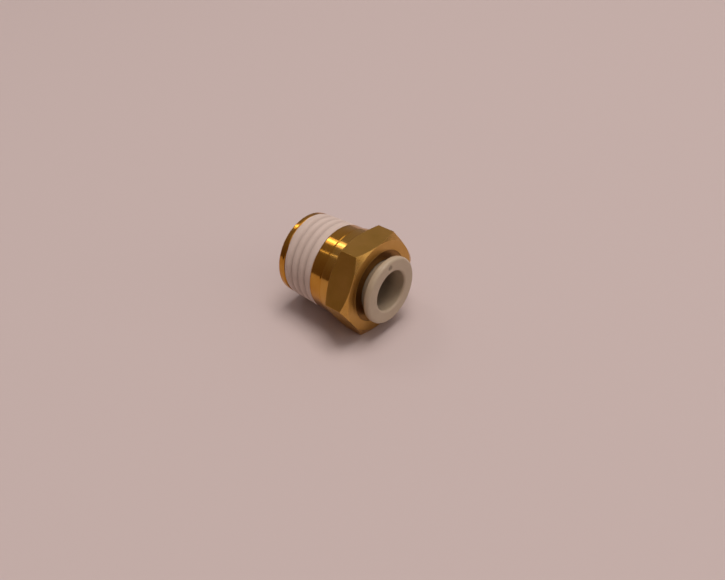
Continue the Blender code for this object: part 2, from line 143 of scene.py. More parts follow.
# Passages in the body
RUNNING_GAP = 0.05 * MM
PRESS_GAP = 0.03 * MM
TUBE_BORE = 3.08 * MM
TAIL_BORE = 2.3 * MM
TAIL_BORE_CHAMFER = 0.3 * MM
TUBE_STOP = 3.6 * MM
SEAL_POCKET = SEAL_OUTER + RUNNING_GAP
MOUTH_RADIUS = GUIDE_OUTER + PRESS_GAP
BACKING_SPIGOT = 0.4 * MM
POCKET_END = BACKING_REAR + BACKING_SPIGOT

# Seal and backing ring
SEAL_INNER = 2.92 * MM
SEAL_LIP_DEPTH = 1.1 * MM
SEAL_LIP_EDGE = 0.3 * MM
SEAL_GROOVE_SHARE = 1.0 / 8.0
BACKING_LAND = 0.7 * MM
BACKING_RIM = 0.25 * MM
BACKING_THROAT = TUBE_BORE + 0.35 * MM
RING_EDGE = 0.06 * MM

# Chuck
CHUCK_INNER = 4.45 * MM
CLAW_LEAN = math.radians(37.0)
CLAW_TIP = 2.88 * MM
CLAW_THICKNESS = 0.25 * MM
CLAW_ROOT_GAP = 0.12 * MM
CLAW_EDGE = 0.1 * MM
CLAW_SLOT = 0.32 * MM
CLAW_ROUND = 0.03 * MM
CLAW_TIP_ROUND = CLAW_ROUND / 2.0
CLAW_SHARP_ANGLE = math.radians(50.0)
CLAW_STEPS = 14

# Button, collet and guide sleeve
STEM_RADIUS = 3.95 * MM
NOSE_RADIUS = 3.3 * MM
BARB_RADIUS = 4.15 * MM
BARB_REAR = 11.15 * MM
BARB_FRONT = 11.75 * MM
BARB_RAMP = 0.25 * MM
FLANGE_BACK = BUTTON_FACE - 1.1 * MM
FLANGE_ROUND = 0.39 * MM
BORE_ROUND = 0.35 * MM
# Painted shade on the stem under the flange, and deep in the bore from one depth to a greater one
STEM_SHADE = 0.9
BORE_SHADE_START_DEPTH = 1.6 * MM
BORE_SHADE_FULL_DEPTH = 2.8 * MM
MOULD_EDGE = 0.05 * MM
COLLET_BORE = STEM_RADIUS + RUNNING_GAP
COLLET_RELIEF = 4.25 * MM
COLLET_STEP = BARB_FRONT + RUNNING_GAP
GUIDE_BORE = COLLET_OUTER + RUNNING_GAP
GUIDE_LIP = 0.5 * MM
GUIDE_LIP_RADIUS = STEM_RADIUS + 0.15 * MM

# Gate mark on the face of the button
GATE_ANGLE = math.radians(91.8)
GATE_RADIUS = 4.08 * MM
GATE_SIZE = 0.45 * MM
GATE_DEPTH = 0.12 * MM
GATE_STEEPNESS = 4
GATE_NUB_SIZE = 0.12 * MM
GATE_NUB_HEIGHT = 0.6
GATE_FINE_ANGLE = 1.3 * GATE_SIZE / GATE_RADIUS
GATE_RINGS = 30

# Fineness of the meshes
TURN_STEPS = 192
FLAT_STEPS = 28
CORNER_STEPS = 6
ARC_STEPS = 6
SUPPORT = 1.3
MOST_OF_SIDE = 0.36
POINT_DECIMALS = 9
SAME_PLANE = 1.0e-6 * MM

# Stored numbers: how fast the turned lines follow the radius, and the ends of the edge number
TURNED_LINE_SLOPE = 1.7
TO_WORN = (0.0, 1.0)
# Span of the edge number that darkens a surface: painted shade in corners, valleys and hollows, and
# dirt in the gate mark
TO_DARKENED = (0.0, -1.0)

# Finishes of the brass, as material slots of its mesh
TURNED, BRIGHT, DRAWN, FACED, POLISHED = range(5)

# Colours
BRASS = (0.58, 0.32, 0.07)
BRASS_DEEP = (0.60, 0.305, 0.05)
BRASS_RICH = (0.52, 0.235, 0.028)
BRASS_DULL = (0.51, 0.285, 0.052)
# Dull dark brass of the guide sleeve, darker than the body's to paint the shade of the recess
BRASS_DARK = (0.32, 0.165, 0.04)
BRASS_SHADE = (0.27, 0.135, 0.03)
BRASS_PALE = (0.64, 0.38, 0.11)
# Painted shade for the inner corners of the brass
BRASS_CORNER_SHADE = (0.16, 0.085, 0.03)
FILM_WHITE = (0.675, 0.56, 0.495)
FILM_SHADE = (0.635, 0.52, 0.455)
BUTTON_GREY = (0.505, 0.410, 0.288)
BUTTON_SHADE = (0.474, 0.382, 0.268)
STEEL = (0.52, 0.50, 0.47)
STEEL_SHADE = (0.40, 0.38, 0.36)
RUBBER = (0.018, 0.018, 0.02)
RUBBER_SHADE = (0.030, 0.029, 0.028)
RING_PLASTIC = (0.50, 0.46, 0.42)
RING_SHADE = (0.42, 0.385, 0.35)
FLOOR = (0.60, 0.51, 0.495)

# Noise on the surfaces, with scales in features to the metre
BRASS_STAIN = {"scale": 420.0, "detail": 5.0}
BRASS_CHIPS = {"scale": 2500.0, "detail": 3.0}
BRASS_SMEAR = {"scale": 900.0, "detail": 4.0}
BRASS_DENTS = {"scale": 1400.0, "detail": 2.0}
STEEL_CLOUD = {"scale": 700.0, "detail": 4.0}
STEEL_GRAIN = {"scale": 5000.0, "detail": 5.0}
SOFT_PATCHES = {"scale": 500.0, "detail": 4.0}
GRAIN_DETAIL = 4.0
LINE_DETAIL = 4.0
LINE_ROUGHNESS = 0.7

# Spans that values are taken from and to
WHOLE = (0.0, 1.0)
NOISE_SPAN = (0.3, 0.7)
TWO_NOISES_SPAN = (0.6, 1.4)
CHIP_NOISE_SPAN = (0.35, 0.65)
CHIP_COVER = (0.5, 1.0)
EDGE_WEAR = (0.0, 0.8)
# Share of painted shade in the brass's inner corners
CORNER_SHADE = (0.0, 0.5)
# Darkening for dirt and painted shade
DIRT_AND_SHADE_COVER = (0.0, 0.6)
DIRT_AND_SHADE_TONE = 0.35
STEEL_ROUGHNESS = (0.24, 0.4)
BRASS_DENT_DEPTH = 3.0 * MICRON
STEEL_GRAIN_DEPTH = 2.0 * MICRON

# Camera, placed by the viewing angle of the photograph, with its angles in degrees
CAMERA_AZIMUTH = 42.553
CAMERA_ELEVATION = 38.023
CAMERA_ROLL = -3.351
CAMERA_PLACE = Vector((57.69, -59.74, 67.97)) * MM
QUARTER_TURN = 90.0
SENSOR_WIDTH = 36.0
IMAGE_WIDTH = 725.0
FOCAL_PIXELS = 691.0
CAMERA_NEAR = 5.0 * MM
CAMERA_FAR = 20.0

# Stage
FLOOR_SIDE = 6.0
FLOOR_ROUGHNESS = 0.9
FLOOR_SPECULAR = 0.1
ROOM_FRONT = (0.09, 0.043, 0.013)
ROOM_BACK = (0.30, 0.262, 0.265)
ROOM_SLOPE = (0.0, 1.0, 0.8)
ROOM_SPAN = (-1.0, 1.0)
LIGHT_COLOUR = (1.0, 0.915, 0.87)
LIGHT_DISTANCE = 1.2


def smooth_step(value, start, length):
    """Smooth rise from 0 at the start to 1 after a length."""
    part = min(max((value - start) / length, 0.0), 1.0)
    return part * part * (3.0 - 2.0 * part)


# Turned meshes


def rounded(outline):
    """Round the corners of a closed outline of station, radius, rounding and finish.

    The rows returned hold station, radius, edge and finish. Edge is 1 on top of
    a rounded outer corner, -1 in an inner one and 0 elsewhere.
    """
    rows = []
    for index, (station, radius, size, finish) in enumerate(outline):
        if size == 0.0:
            rows.append((station, radius, 0.0, finish))
            continue
        here = np.array((station, radius))
        last_finish = outline[index - 1][3]
        back = np.array(outline[index - 1][:2]) - here
        ahead = np.array(outline[(index + 1) % len(outline)][:2]) - here
        least = min(np.linalg.norm(back), np.linalg.norm(ahead))
        back /= np.linalg.norm(back)
        ahead /= np.linalg.norm(ahead)
        half = math.acos(np.clip(back @ ahead, -1.0, 1.0)) / 2.0
        sweep = math.pi - 2.0 * half
        tangent = min(size / math.tan(half), MOST_OF_SIDE * least)
        size = tangent * math.tan(half)
        middle = here + (back + ahead) / np.linalg.norm(back + ahead) * size / math.sin(half)
        first = here + back * tangent - middle
        final = here + ahead * tangent - middle
        side = np.sign(back[0] * ahead[1] - back[1] * ahead[0])
        rows.append((*(here + back * tangent * SUPPORT), 0.0, last_finish))
        for step in range(ARC_STEPS + 1):
            part = step / ARC_STEPS
            turn = math.sin((1.0 - part) * sweep) * first + math.sin(part * sweep) * final
            place = middle + turn / math.sin(sweep)
            worn = finish if part >= 0.5 else last_finish
            rows.append((*place, side * math.sin(math.pi * part), worn))
        rows.append((*(here + ahead * tangent * SUPPORT), 0.0, finish))
    return rows


def plain(corners):
    """Outline of a piece that has one finish."""
    return [(station, radius, size, 0) for station, radius, size in corners]


def even_angles():
    """Angles of a plain turned piece."""
    return np.linspace(0.0, FULL_TURN, TURN_STEPS, endpoint=False)


def angles_with(centre, width, steps):
    """Even angles, with closer ones round a centre."""
    close = centre + np.linspace(-width, width, steps)
    even = even_angles()
    return np.sort(np.concatenate((even[np.abs(even - centre) > width], close)))


def swept(name, rows, angles, materials):
    """Mesh of the outline rows of every angle, with its bake map and attributes."""
    steps, count = rows.shape[:2]
    station = rows[..., 0]
    radius = rows[..., 1]
    across = radius * np.cos(angles)[:, None]
    height = AXIS_Z + radius * np.sin(angles)[:, None]
    points = np.stack((TAIL_X + station, across, height), axis=-1).round(POINT_DECIMALS)
    here = np.arange(steps * count).reshape(steps, count)
    there = np.roll(here, -1, axis=0)
    quads = np.stack((here, there, np.roll(there, -1, axis=1), np.roll(here, -1, axis=1)), axis=-1)
    mesh = bpy.data.meshes.new(name)
    mesh.from_pydata(points.reshape(-1, 3).tolist(), [], quads.reshape(-1, 4).tolist())
    for material in materials:
        mesh.materials.append(material)
    mesh.polygons.foreach_set("material_index", rows[..., 3].astype(np.int32).ravel())
    mesh.shade_smooth()
    add_attribute(mesh, "turned_line", station - TURNED_LINE_SLOPE * radius)
    add_attribute(mesh, "drawn_line", np.broadcast_to(HEX_APOTHEM * angles[:, None], radius.shape))
    add_attribute(mesh, "edge", rows[..., 2])
    add_bake_map(mesh, rows, angles)
    return add_piece(name, mesh)


def add_attribute(mesh, name, values):
    """Store a number on every point."""
    attribute = mesh.attributes.new(name, "FLOAT", "POINT")
    attribute.data.foreach_set("value", np.ascontiguousarray(values, np.float32).ravel())


def add_bake_map(mesh, rows, angles):
    """Unroll the turned surface on a square, without overlaps."""
    steps, count = rows.shape[:2]
    u = np.append(angles - angles[0], FULL_TURN) / FULL_TURN
    sides = np.linalg.norm(np.roll(rows[..., :2], -1, axis=1) - rows[..., :2], axis=-1).mean(axis=0)
    v = np.append(0.0, np.cumsum(sides)) / sides.sum()
    corners = np.empty((steps, count, 4, 2), np.float32)
    corners[:, :, (0, 3), 0] = u[:-1, None, None]
    corners[:, :, (1, 2), 0] = u[1:, None, None]
    corners[:, :, (0, 1), 1] = v[None, :-1, None]
    corners[:, :, (2, 3), 1] = v[None, 1:, None]
    layer = mesh.uv_layers.new(name="OFBake")
    layer.data.foreach_set("uv", corners.ravel())


def add_piece(name, mesh):
    """Put a mesh in the scene."""
    piece = bpy.data.objects.new(name, mesh)
    bpy.context.scene.collection.objects.link(piece)
    return piece


def settle(piece, node, body):
    """Let a piece stand for a node and ride on its body."""
    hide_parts(node)
    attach(piece, body)


def turned(name, corners, material):
    """Plain turned piece from the corners of its outline."""
    rows = np.array(rounded(plain(corners)))
    return swept(name, np.broadcast_to(rows, (TURN_STEPS, *rows.shape)), even_angles(), [material])


# Shapes of the body and of the film on its thread


def crest_radius(station):
    """Radius of the taper over the thread's crests."""
    return THREAD_GAUGE_DIAMETER / 2.0 + (station - THREAD_GAUGE_LENGTH) * THREAD_TAPER


def thread_phase(station, turn):
    """Place within a pitch, from 0 on one crest to 1 on the next."""
    return (station / THREAD_PITCH - turn - THREAD_CLOCKING) % 1.0


def thread_radius(station, turn):
    """Radius of the threaded brass, with round crests and roots and a chamfered start."""
    flank = 1.0 - abs(2.0 * thread_phase(station, turn) - 1.0)
    groove = smooth_step(flank, 0.0, 1.0)
    runs_in = smooth_step(station, SEALANT_START, THREAD_FADE)
    runs_out = smooth_step(-station, -COLLAR_START, THREAD_FADE)
    lead = crest_radius(LEAD_CHAMFER) - LEAD_CHAMFER + station
    return min(lead, crest_radius(station) - THREAD_DEPTH * groove * runs_in * runs_out)


def between(station, start, end, fade):
    """Smooth rise to 1 after the start, and fall to 0 at the end."""
    return smooth_step(station, start, fade) * smooth_step(-station, -end, fade)


def film_radius(station, turn, start, end):
    """Outer radius of the sealant, which dips softly over the thread's grooves."""
    wave = 0.5 - 0.5 * math.cos(FULL_TURN * thread_phase(station, turn))
    ripple = FILM_RIPPLE * wave**FILM_VALLEY_SHARPNESS * between(station, start, end, THREAD_FADE)
    film = crest_radius(station) + FILM_OVER_CREST - ripple
    brass_below = thread_radius(station, turn) + FILM_SKIN
    return brass_below + (film - brass_below) * between(station, start, end, FILM_FEATHER)


def layered_noise(place):
    """Noise of a few layers at a place, from about -1 to 1."""
    return noise.fractal(place, LAYER_FALLOFF, LAYER_SPREAD, LAYER_COUNT)


def wander(angle, seed):
    """Slow change round the axis, from about -1 to 1, for an edge laid by hand."""
    return layered_noise(Vector((math.cos(angle), math.sin(angle), seed)) * FILM_WANDER_SCALE)


def hex_radius(angle):
    """Radius of the hexagon's section, with its corners a little rounded."""
    from_corner = (angle + HEX_HALF_ANGLE) % HEX_SIDE_ANGLE - HEX_HALF_ANGLE
    if abs(from_corner) < corner_width():
        middle = (HEX_APOTHEM - HEX_CORNER_ROUND) / math.cos(HEX_HALF_ANGLE)
        off = middle * math.sin(from_corner)
        return middle * math.cos(from_corner) + math.sqrt(HEX_CORNER_ROUND**2 - off**2)
    return HEX_APOTHEM / math.cos(HEX_HALF_ANGLE - abs(from_corner))


def corner_width():
    """Angle from a corner of the hexagon to where its rounding ends."""
    side = (HEX_APOTHEM - HEX_CORNER_ROUND) * math.tan(HEX_HALF_ANGLE)
    return HEX_HALF_ANGLE - math.atan(side / HEX_APOTHEM)


def hex_angles():
    """Angles of the body, close together on the corners of the hexagon."""
    width = corner_width()
    corner = np.linspace(-width, width, 2 * CORNER_STEPS + 1)
    flat = np.linspace(SUPPORT * width, HEX_SIDE_ANGLE - SUPPORT * width, FLAT_STEPS)
    side = np.concatenate((corner, flat))
    return np.concatenate([side + number * HEX_SIDE_ANGLE for number in range(HEX_SIDES)])


def body_outline(angle):
    """Outline of the brass at an angle: outside to the front, then back along the bore."""
    turn = angle / FULL_TURN
    flat = hex_radius(angle)
    rear_edge = HEX_REAR + (flat - REAR_FACE_RADIUS) * HEX_CHAMFER_SLOPE
    front_edge = BODY_FRONT - (flat - FRONT_FACE_RADIUS) * HEX_CHAMFER_SLOPE
    outline = [(0.0, thread_radius(0.0, turn), TURNED_EDGE, BRIGHT)]
    for station in np.linspace(0.0, COLLAR_START, THREAD_ROWS)[1:]:
        outline.append((station, thread_radius(station, turn), 0.0, BRIGHT))
    outline += [
        (COLLAR_START + PRESS_GAP, COLLAR_RADIUS, TURNED_EDGE, BRIGHT),
        (SHOULDER_START - RELIEF_WIDTH, COLLAR_RADIUS, TURNED_EDGE, BRIGHT),
        (SHOULDER_START - RELIEF_WIDTH / 2.0, COLLAR_RADIUS - RELIEF_DEPTH, TURNED_EDGE, BRIGHT),
        (SHOULDER_START, COLLAR_RADIUS - RELIEF_DEPTH, TURNED_EDGE, POLISHED),
        (SHOULDER_START + SHOULDER_CHAMFER, SHOULDER_RADIUS, TURNED_EDGE, POLISHED),
        (HEX_REAR, SHOULDER_RADIUS, TURNED_EDGE, TURNED),
        (HEX_REAR, REAR_FACE_RADIUS, TURNED_EDGE, TURNED),
        (rear_edge, flat, HEX_EDGE_ROUND, DRAWN),
        (front_edge, flat, HEX_EDGE_ROUND, TURNED),
        (BODY_FRONT, FRONT_FACE_RADIUS, FACE_EDGE_ROUND, FACED),
        (BODY_FRONT, MOUTH_RADIUS + MOUTH_CHAMFER, MOUTH_ROUND, FACED),
        (BODY_FRONT - MOUTH_CHAMFER, MOUTH_RADIUS, MOUTH_ROUND, TURNED),
        (POCKET_END, MOUTH_RADIUS, TURNED_EDGE, TURNED),
        (POCKET_END, SEAL_POCKET, TURNED_EDGE, TURNED),
        (SEAL_START - RUNNING_GAP, SEAL_POCKET, TURNED_EDGE, TURNED),
        (SEAL_START - RUNNING_GAP, TUBE_BORE, TURNED_EDGE, TURNED),
        (TUBE_STOP, TUBE_BORE, TURNED_EDGE, TURNED),
        (TUBE_STOP, TAIL_BORE, TURNED_EDGE, TURNED),
        (TAIL_BORE_CHAMFER, TAIL_BORE, TURNED_EDGE, TURNED),
        (0.0, TAIL_BORE + TAIL_BORE_CHAMFER, TURNED_EDGE, TURNED),
    ]
    return outline


def make_body():
    """Brass body with its thread, collar, hexagon and stepped bore."""
    angles = hex_angles()
    rows = np.array([rounded(body_outline(angle)) for angle in angles])
    finishes = {
        TURNED: brass_turned(),
        BRIGHT: brass_bright(),
        DRAWN: brass_drawn(),
        FACED: brass_faced(),
        POLISHED: brass_polished(),
    }
    body = swept("brass_body", rows, angles, [finishes[number] for number in sorted(finishes)])
    settle(body, "body", "fitting")


def film_outline(angle):
    """Outline of the film at an angle: its outer side, then its side on the brass."""
    turn = angle / FULL_TURN
    slant = FILM_START_SLANT * (0.5 - 0.5 * math.cos(angle - FILM_EARLIEST_ANGLE))
    earliest = SEALANT_START + FILM_BARE_STRIP
    start = earliest + slant + FILM_EDGE_WANDER * wander(angle, FILM_START_SEED)
    end = SEALANT_END - FILM_EDGE_WANDER * (1.0 + wander(angle, FILM_END_SEED))
    outer = []
    inner = []
    for station in np.linspace(start, end, FILM_ROWS):
        place = Vector((station, math.cos(angle) * HEX_APOTHEM, math.sin(angle) * HEX_APOTHEM))
        lump = FILM_LUMP * layered_noise(place * FILM_LUMP_SCALE)
        lump *= between(station, start, end, FILM_FEATHER)
        outer.append((station, film_radius(station, turn, start, end) + lump, 0.0, 0))
        inner.append((station, thread_radius(station, turn) + FILM_SKIN / 2.0, 0.0, 0))
    return outer + inner[::-1]


def make_film():
    """White sealant film on the thread."""
    angles = even_angles()
    rows = np.array([rounded(film_outline(angle)) for angle in angles])
    outer = rows[:, :FILM_ROWS]
    # Painted shade, deepest at the bottom of the film's valleys
    dip = crest_radius(outer[..., 0]) + FILM_OVER_CREST - outer[..., 1]
    outer[..., 2] = -FILM_VALLEY_SHADE * np.clip(dip / FILM_RIPPLE, 0.0, 1.0) ** 2
    film = swept("sealant_film", rows, angles, [sealant()])
    settle(film, "thread_sealant", "fitting")


# Pieces inside the body


def make_seal():
    """Rubber ring with two lips."""
    heel = SEAL_START + SEAL_LIP_DEPTH
    middle = (SEAL_INNER + SEAL_OUTER) / 2.0
    groove = (SEAL_OUTER - SEAL_INNER) * SEAL_GROOVE_SHARE
    corners = (
        (SEAL_START, SEAL_INNER, RING_EDGE),
        (SEAL_START, SEAL_INNER + SEAL_LIP_EDGE, RING_EDGE),
        (heel - SEAL_LIP_EDGE, middle - groove, RING_EDGE),
        (heel, middle, RING_EDGE),
        (heel - SEAL_LIP_EDGE, middle + groove, RING_EDGE),
        (SEAL_START, SEAL_OUTER - SEAL_LIP_EDGE, RING_EDGE),
        (SEAL_START, SEAL_OUTER, RING_EDGE),
        (SEAL_END, SEAL_OUTER, RING_EDGE),
        (SEAL_END, TUBE_BORE, RING_EDGE),
        (heel, TUBE_BORE, RING_EDGE),
    )
    settle(turned("lip_seal", corners, rubber()), "seal", "fitting")


def make_backing_ring():
    """Ring behind the seal, dished so that the claws can open."""
    land_end = BACKING_REAR + BACKING_LAND
    seat = POCKET_END + RUNNING_GAP
    corners = (
        (BACKING_REAR, TUBE_BORE, RING_EDGE),
        (BACKING_REAR, SEAL_OUTER, RING_EDGE),
        (seat, SEAL_OUTER, RING_EDGE),
        (seat, BACKING_OUTER, RING_EDGE),
        (BACKING_FRONT, BACKING_OUTER, RING_EDGE),
        (BACKING_FRONT, CHUCK_INNER, RING_EDGE),
        (BACKING_FRONT - BACKING_RIM, CHUCK_INNER, RING_EDGE),
        (land_end, BACKING_THROAT, RING_EDGE),
        (land_end, TUBE_BORE, RING_EDGE),
    )
    ring = turned("dished_ring", corners, ring_plastic())
    settle(ring, "backing_ring", "fitting")


def make_chuck_ring():
    """Rim of the chuck."""
    corners = (
        (CHUCK_REAR, CHUCK_INNER, CLAW_ROUND),
        (CHUCK_REAR, CHUCK_OUTER, CLAW_ROUND),
        (CHUCK_FRONT, CHUCK_OUTER, CLAW_ROUND),
        (CHUCK_FRONT, CHUCK_INNER, CLAW_ROUND),
    )
    rim = turned("chuck_rim", corners, steel("chuck_steel"))
    settle(rim, "chuck_ring", "cartridge")


def claw_mesh(name, root_radius, claw_count):
    """Claw as a piece of a leaning cone about the axis, with its root at a radius."""
    half = CLAW_THICKNESS / 2.0
    lean_sine = math.sin(CLAW_LEAN)
    lean_cosine = math.cos(CLAW_LEAN)

    def reach_at(radius, offset):
        return (root_radius - radius - lean_sine * offset) / lean_cosine

    corners = (
        (CLAW_ROOT_GAP, half, CLAW_ROUND),
        (reach_at(CLAW_TIP, half), half, CLAW_TIP_ROUND),
        (reach_at(CLAW_TIP + CLAW_EDGE, -half), -half, CLAW_ROUND),
        (CLAW_ROOT_GAP, -half, CLAW_ROUND),
    )
    outline = rounded(plain(corners))
    width = FULL_TURN / claw_count - CLAW_SLOT / CLAW_TIP
    count = len(outline)
    points = []
    faces = []
    for angle in np.linspace(-width / 2.0, width / 2.0, CLAW_STEPS + 1):
        for reach, offset, _, _ in outline:
            station = lean_cosine * offset - lean_sine * reach
            radius = root_radius - lean_cosine * reach - lean_sine * offset
            across = radius * math.cos(angle) - root_radius
            points.append((station, across, radius * math.sin(angle)))
    for step in range(CLAW_STEPS):
        for index in range(count):
            here = step * count + index
            after = step * count + (index + 1) % count
            faces.append((here, after, after + count, here + count))
    faces.append(range(count))
    faces.append(range((CLAW_STEPS + 1) * count - 1, CLAW_STEPS * count - 1, -1))
    mesh = bpy.data.meshes.new(name)
    mesh.from_pydata(points, [], faces)
    mesh.shade_smooth()
    mesh.set_sharp_from_angle(angle=CLAW_SHARP_ANGLE)
    return mesh


def make_claws():
    """Claws of the chuck, each on its own hinge."""
    hinges = [joint for joint in frame["joints"] if joint["child"].startswith("claw_")]
    material = steel("claw_steel")
    for joint in hinges:
        place = Vector(joint["pos_m"])
        off_axis = Vector((0.0, place.y, place.z - AXIS_Z))
        name = joint["child"] + "_blade"
        mesh = claw_mesh(name, off_axis.length, len(hinges))
        turn = Matrix.Rotation(math.atan2(off_axis.z, off_axis.y), 4, "X")
        mesh.transform(Matrix.Translation(place) @ turn)
        mesh.materials.append(material)
        settle(add_piece(name, mesh), "chuck_" + joint["child"], joint["child"])


def make_collet():
    """Carrier of the chuck, with a bore for the stem of the button."""
    corners = (
        (COLLET_REAR, COLLET_RELIEF, RING_EDGE),
        (COLLET_REAR, COLLET_OUTER, RING_EDGE),
        (COLLET_FRONT, COLLET_OUTER, RING_EDGE),
        (COLLET_FRONT, COLLET_BORE, RING_EDGE),
        (COLLET_STEP, COLLET_BORE, RING_EDGE),
        (COLLET_STEP, COLLET_RELIEF, RING_EDGE),
    )
    collet = turned("claw_carrier", corners, ring_plastic())
    settle(collet, "collet", "cartridge")


def make_guide_sleeve():
    """Sleeve in the mouth, whose lip shows in the recess."""
    lip_rear = GUIDE_FRONT - GUIDE_LIP
    corners = (
        (GUIDE_REAR, GUIDE_BORE, TURNED_EDGE),
        (GUIDE_REAR, GUIDE_OUTER, TURNED_EDGE),
        (GUIDE_FRONT, GUIDE_OUTER, TURNED_EDGE),
        (GUIDE_FRONT, GUIDE_LIP_RADIUS, TURNED_EDGE),
        (lip_rear, GUIDE_LIP_RADIUS, TURNED_EDGE),
        (lip_rear, GUIDE_BORE, TURNED_EDGE),
    )
    # The sleeve's darker brass paints the shade of the recess
    sleeve = turned("mouth_sleeve", corners, brass_dark_painted_shade())
    settle(sleeve, "guide_sleeve", "fitting")


# Button


def button_outline():
    """Outline of the button, with painted shade on its stem under the flange and deep in its bore.
    """
    corners = (
        (NOSE_END, TUBE_BORE, MOULD_EDGE),
        (NOSE_END, NOSE_RADIUS, MOULD_EDGE),
        (BARB_REAR, STEM_RADIUS, MOULD_EDGE),
        (BARB_REAR + BARB_RAMP, BARB_RADIUS, MOULD_EDGE),
        (BARB_FRONT, BARB_RADIUS, MOULD_EDGE),
        (BARB_FRONT, STEM_RADIUS, MOULD_EDGE),
        (GUIDE_FRONT, STEM_RADIUS, 0.0),
        (FLANGE_BACK, STEM_RADIUS, MOULD_EDGE),
        (FLANGE_BACK, FLANGE_RADIUS, FLANGE_ROUND),
        (BUTTON_FACE, FLANGE_RADIUS, FLANGE_ROUND),
        (BUTTON_FACE, TUBE_BORE, BORE_ROUND),
        (BUTTON_FACE - BORE_SHADE_START_DEPTH, TUBE_BORE, 0.0),
        (BUTTON_FACE - BORE_SHADE_FULL_DEPTH, TUBE_BORE, 0.0),
    )
    outline = np.array(rounded(plain(corners)))
    station = outline[:, 0]
    radius = outline[:, 1]
    # Painted shade on the stem under the flange
    on_stem = (station > GUIDE_FRONT - MOULD_EDGE) & (np.abs(radius - STEM_RADIUS) < MOULD_EDGE)
    outline[on_stem, 2] = -STEM_SHADE
    # Painted shade in the bore, from none at one depth to full at a greater one
    in_bore = radius < TUBE_BORE + BORE_ROUND - MOULD_EDGE
    past_shade_start = BUTTON_FACE - BORE_SHADE_START_DEPTH - station[in_bore]
    outline[in_bore, 2] = -np.clip(past_shade_start / (BORE_SHADE_FULL_DEPTH - BORE_SHADE_START_DEPTH), 0.0, 1.0)
    return outline


def press_gate_mark(face, angles):
    """Sink the dirty gate mark into the rows of the button's face, with a nub in its middle."""
    off = angles[:, None] - GATE_ANGLE
    radius = face[..., 1]
    away = np.hypot(radius * np.cos(off) - GATE_RADIUS, radius * np.sin(off))
    pit = np.clip(1.0 - (away / GATE_SIZE) ** GATE_STEEPNESS, 0.0, 1.0)
    nub = np.exp(-((away / GATE_NUB_SIZE) ** 2))
    face[..., 0] -= GATE_DEPTH * pit * (1.0 - GATE_NUB_HEIGHT * nub)
    face[..., 2] -= pit


def make_button():
    """Release button with its flange, stem, barb and nose, and a gate mark on its face."""
    outline = button_outline()
    on_face = np.flatnonzero(outline[:, 0] > BUTTON_FACE - SAME_PLANE)
    outer, inner = on_face[1], on_face[-2]
    rings = np.linspace(outline[outer], outline[inner], GATE_RINGS)
    outline = np.concatenate((outline[:outer], rings, outline[inner + 1 :]))
    angles = angles_with(GATE_ANGLE, GATE_FINE_ANGLE, GATE_RINGS)
    rows = np.repeat(outline[None], len(angles), axis=0)
    press_gate_mark(rows[:, outer : outer + GATE_RINGS], angles)
    button = swept("push_button", rows, angles, [button_plastic()])
    settle(button, "release_button", "button")


# Parts of the materials


def new_material(name, metallic):
    """Material with its tree, its shader and a place on the surface."""
    material = bpy.data.materials.new(name)
    material.use_nodes = True
    tree = material.node_tree
    shader = tree.nodes["Principled BSDF"]
    shader.inputs["Metallic"].default_value = metallic
    place = tree.nodes.new("ShaderNodeTexCoord").outputs["Object"]
    return material, tree, shader, place


def opaque(colour):
    """Colour as the four numbers that a socket takes."""
    return (*colour, 1.0)


def noise_at(tree, place, scale, detail):
    """Soft noise over the surface."""
    node = tree.nodes.new("ShaderNodeTexNoise")
    node.inputs["Scale"].default_value = scale
    node.inputs["Detail"].default_value = detail
    tree.links.new(place, node.inputs["Vector"])
    return node.outputs["Fac"]


def read_attribute(tree, name):
    """Number stored on the points of the mesh."""
    node = tree.nodes.new("ShaderNodeAttribute")
    node.attribute_name = name
    return node.outputs["Fac"]


def lines_along(tree, attribute, scale):
    """Fine tool lines, which follow a stored number."""
    node = tree.nodes.new("ShaderNodeTexNoise")
    node.noise_dimensions = "1D"
    node.inputs["Scale"].default_value = scale
    node.inputs["Detail"].default_value = LINE_DETAIL
    node.inputs["Roughness"].default_value = LINE_ROUGHNESS
    tree.links.new(read_attribute(tree, attribute), node.inputs["W"])
    return node.outputs["Fac"]


def ranged(tree, value, old_span, new_span):
    """Value taken from one span to another, held at the ends."""
    node = tree.nodes.new("ShaderNodeMapRange")
    sockets = ("From Min", "From Max", "To Min", "To Max")
    for socket, number in zip(sockets, (*old_span, *new_span)):
        node.inputs[socket].default_value = number
    tree.links.new(value, node.inputs["Value"])
    return node.outputs["Result"]


def combined(tree, operation, first, second):
    """Two values put together."""
    node = tree.nodes.new("ShaderNodeMath")
    node.operation = operation
    tree.links.new(first, node.inputs[0])
    tree.links.new(second, node.inputs[1])
    return node.outputs["Value"]


def graded(tree, value, tones):
    """Colour that goes from a first tone to a last one over a value from 0 to 1."""
    node = tree.nodes.new("ShaderNodeValToRGB")
    for stop, tone in zip(node.color_ramp.elements, tones):
        stop.color = opaque(tone)
    tree.links.new(value, node.inputs["Fac"])
    return node.outputs["Color"]


def tinted(tree, base, colour, amount):
    """Base colour, turned to another colour by an amount."""
    node = tree.nodes.new("ShaderNodeMix")
    node.data_type = "RGBA"
    node.inputs["B"].default_value = opaque(colour)
    tree.links.new(amount, node.inputs["Factor"])
    tree.links.new(base, node.inputs["A"])
    return node.outputs["Result"]


def raised(tree, height, depth, normal=None):
    """Bump from a height between 0 and 1, with its depth in metres."""
    node = tree.nodes.new("ShaderNodeBump")
    node.inputs["Strength"].default_value = 1.0
    node.inputs["Distance"].default_value = depth
    tree.links.new(height, node.inputs["Height"])
    if normal:
        tree.links.new(normal, node.inputs["Normal"])
    return node.outputs["Normal"]


def wire(tree, shader, colour, roughness, normal):
    """Give the shader what changes over the surface."""
    tree.links.new(colour, shader.inputs["Base Color"])
    tree.links.new(roughness, shader.inputs["Roughness"])
    tree.links.new(normal, shader.inputs["Normal"])


# Brass


